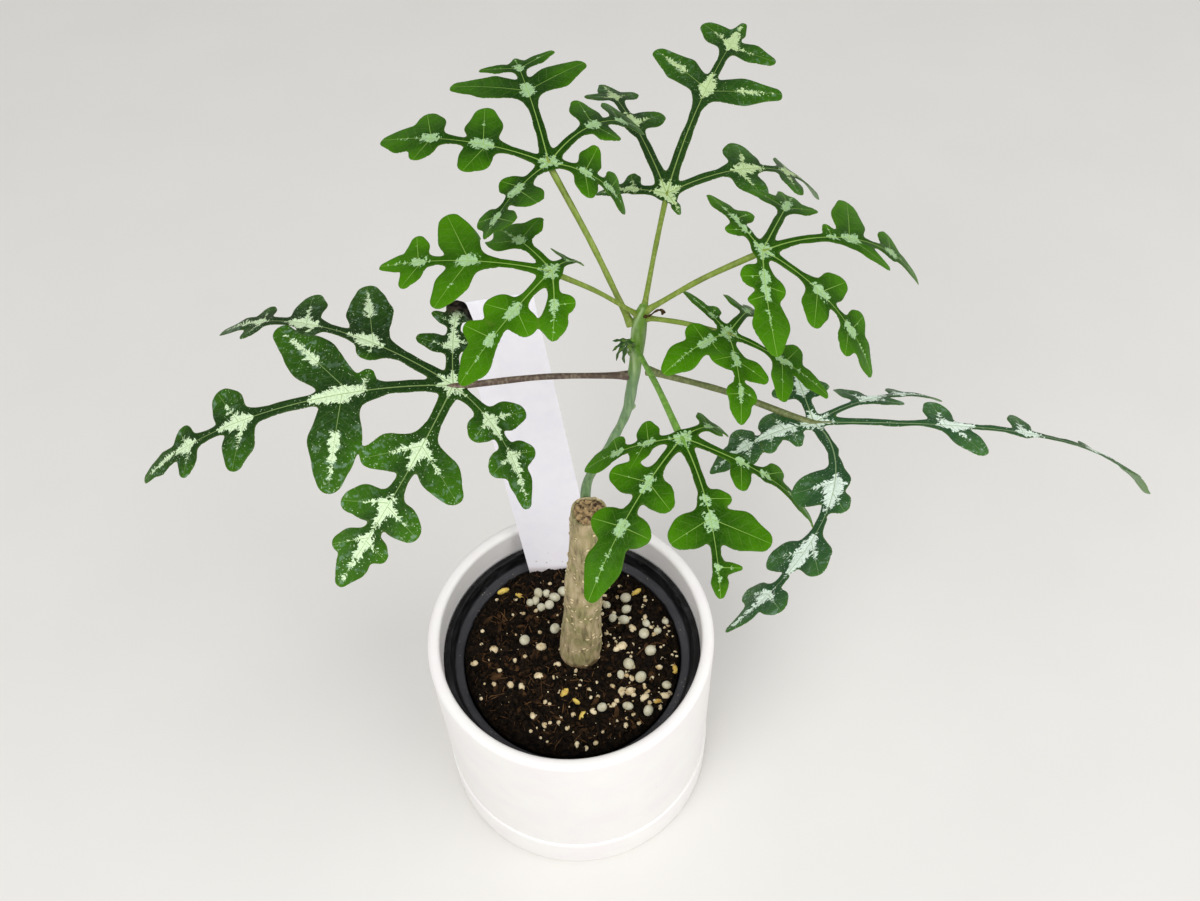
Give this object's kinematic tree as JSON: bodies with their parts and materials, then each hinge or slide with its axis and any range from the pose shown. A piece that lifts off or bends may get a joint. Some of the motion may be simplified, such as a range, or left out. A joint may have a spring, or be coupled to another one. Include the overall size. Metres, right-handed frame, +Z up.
{
  "type": "potted adenia",
  "caption": "Young adenia cutting with hand-shaped, deeply cut leaves on a sawn woody trunk, in a thin nursery pot inside a straight glazed pot on its saucer, with a plain plant label.",
  "frame": {"origin": "middle of the saucer's flat underside, where it rests on the table", "axes": "+Z up along the axis of the pots, +X towards the right-hand leaf as pictured, +Y away from the viewer, towards the plant label"},
  "size_m": [0.279, 0.1853, 0.2872],
  "materials": {
    "glazed_ceramic": "semi-gloss white glaze",
    "nursery_plastic": "satin black moulded plastic",
    "soil": "rough dark potting mix with bark chips and perlite",
    "bark": "matt grey-tan bark with pale pores",
    "green_shoot": "satin waxy green stem",
    "bright_leaf": "satin mid-green leaf with pale veins",
    "dark_leaf": "satin dark green leaf with silvery patches along its ribs",
    "label_plastic": "satin white plastic sheet"
  },
  "bodies": {
    "root": {"saucer": "glazed_ceramic", "ceramic_pot": "glazed_ceramic", "nursery_pot": "nursery_plastic", "soil": "soil", "trunk": "bark", "shoot": "green_shoot", "leaf_a": "bright_leaf", "leaf_b": "dark_leaf", "leaf_c": "bright_leaf", "leaf_d": "bright_leaf", "leaf_e": "bright_leaf", "leaf_f": "dark_leaf", "leaf_g": "dark_leaf", "leaf_h": "bright_leaf", "plant_label": "label_plastic"}
  },
  "joints": []
}
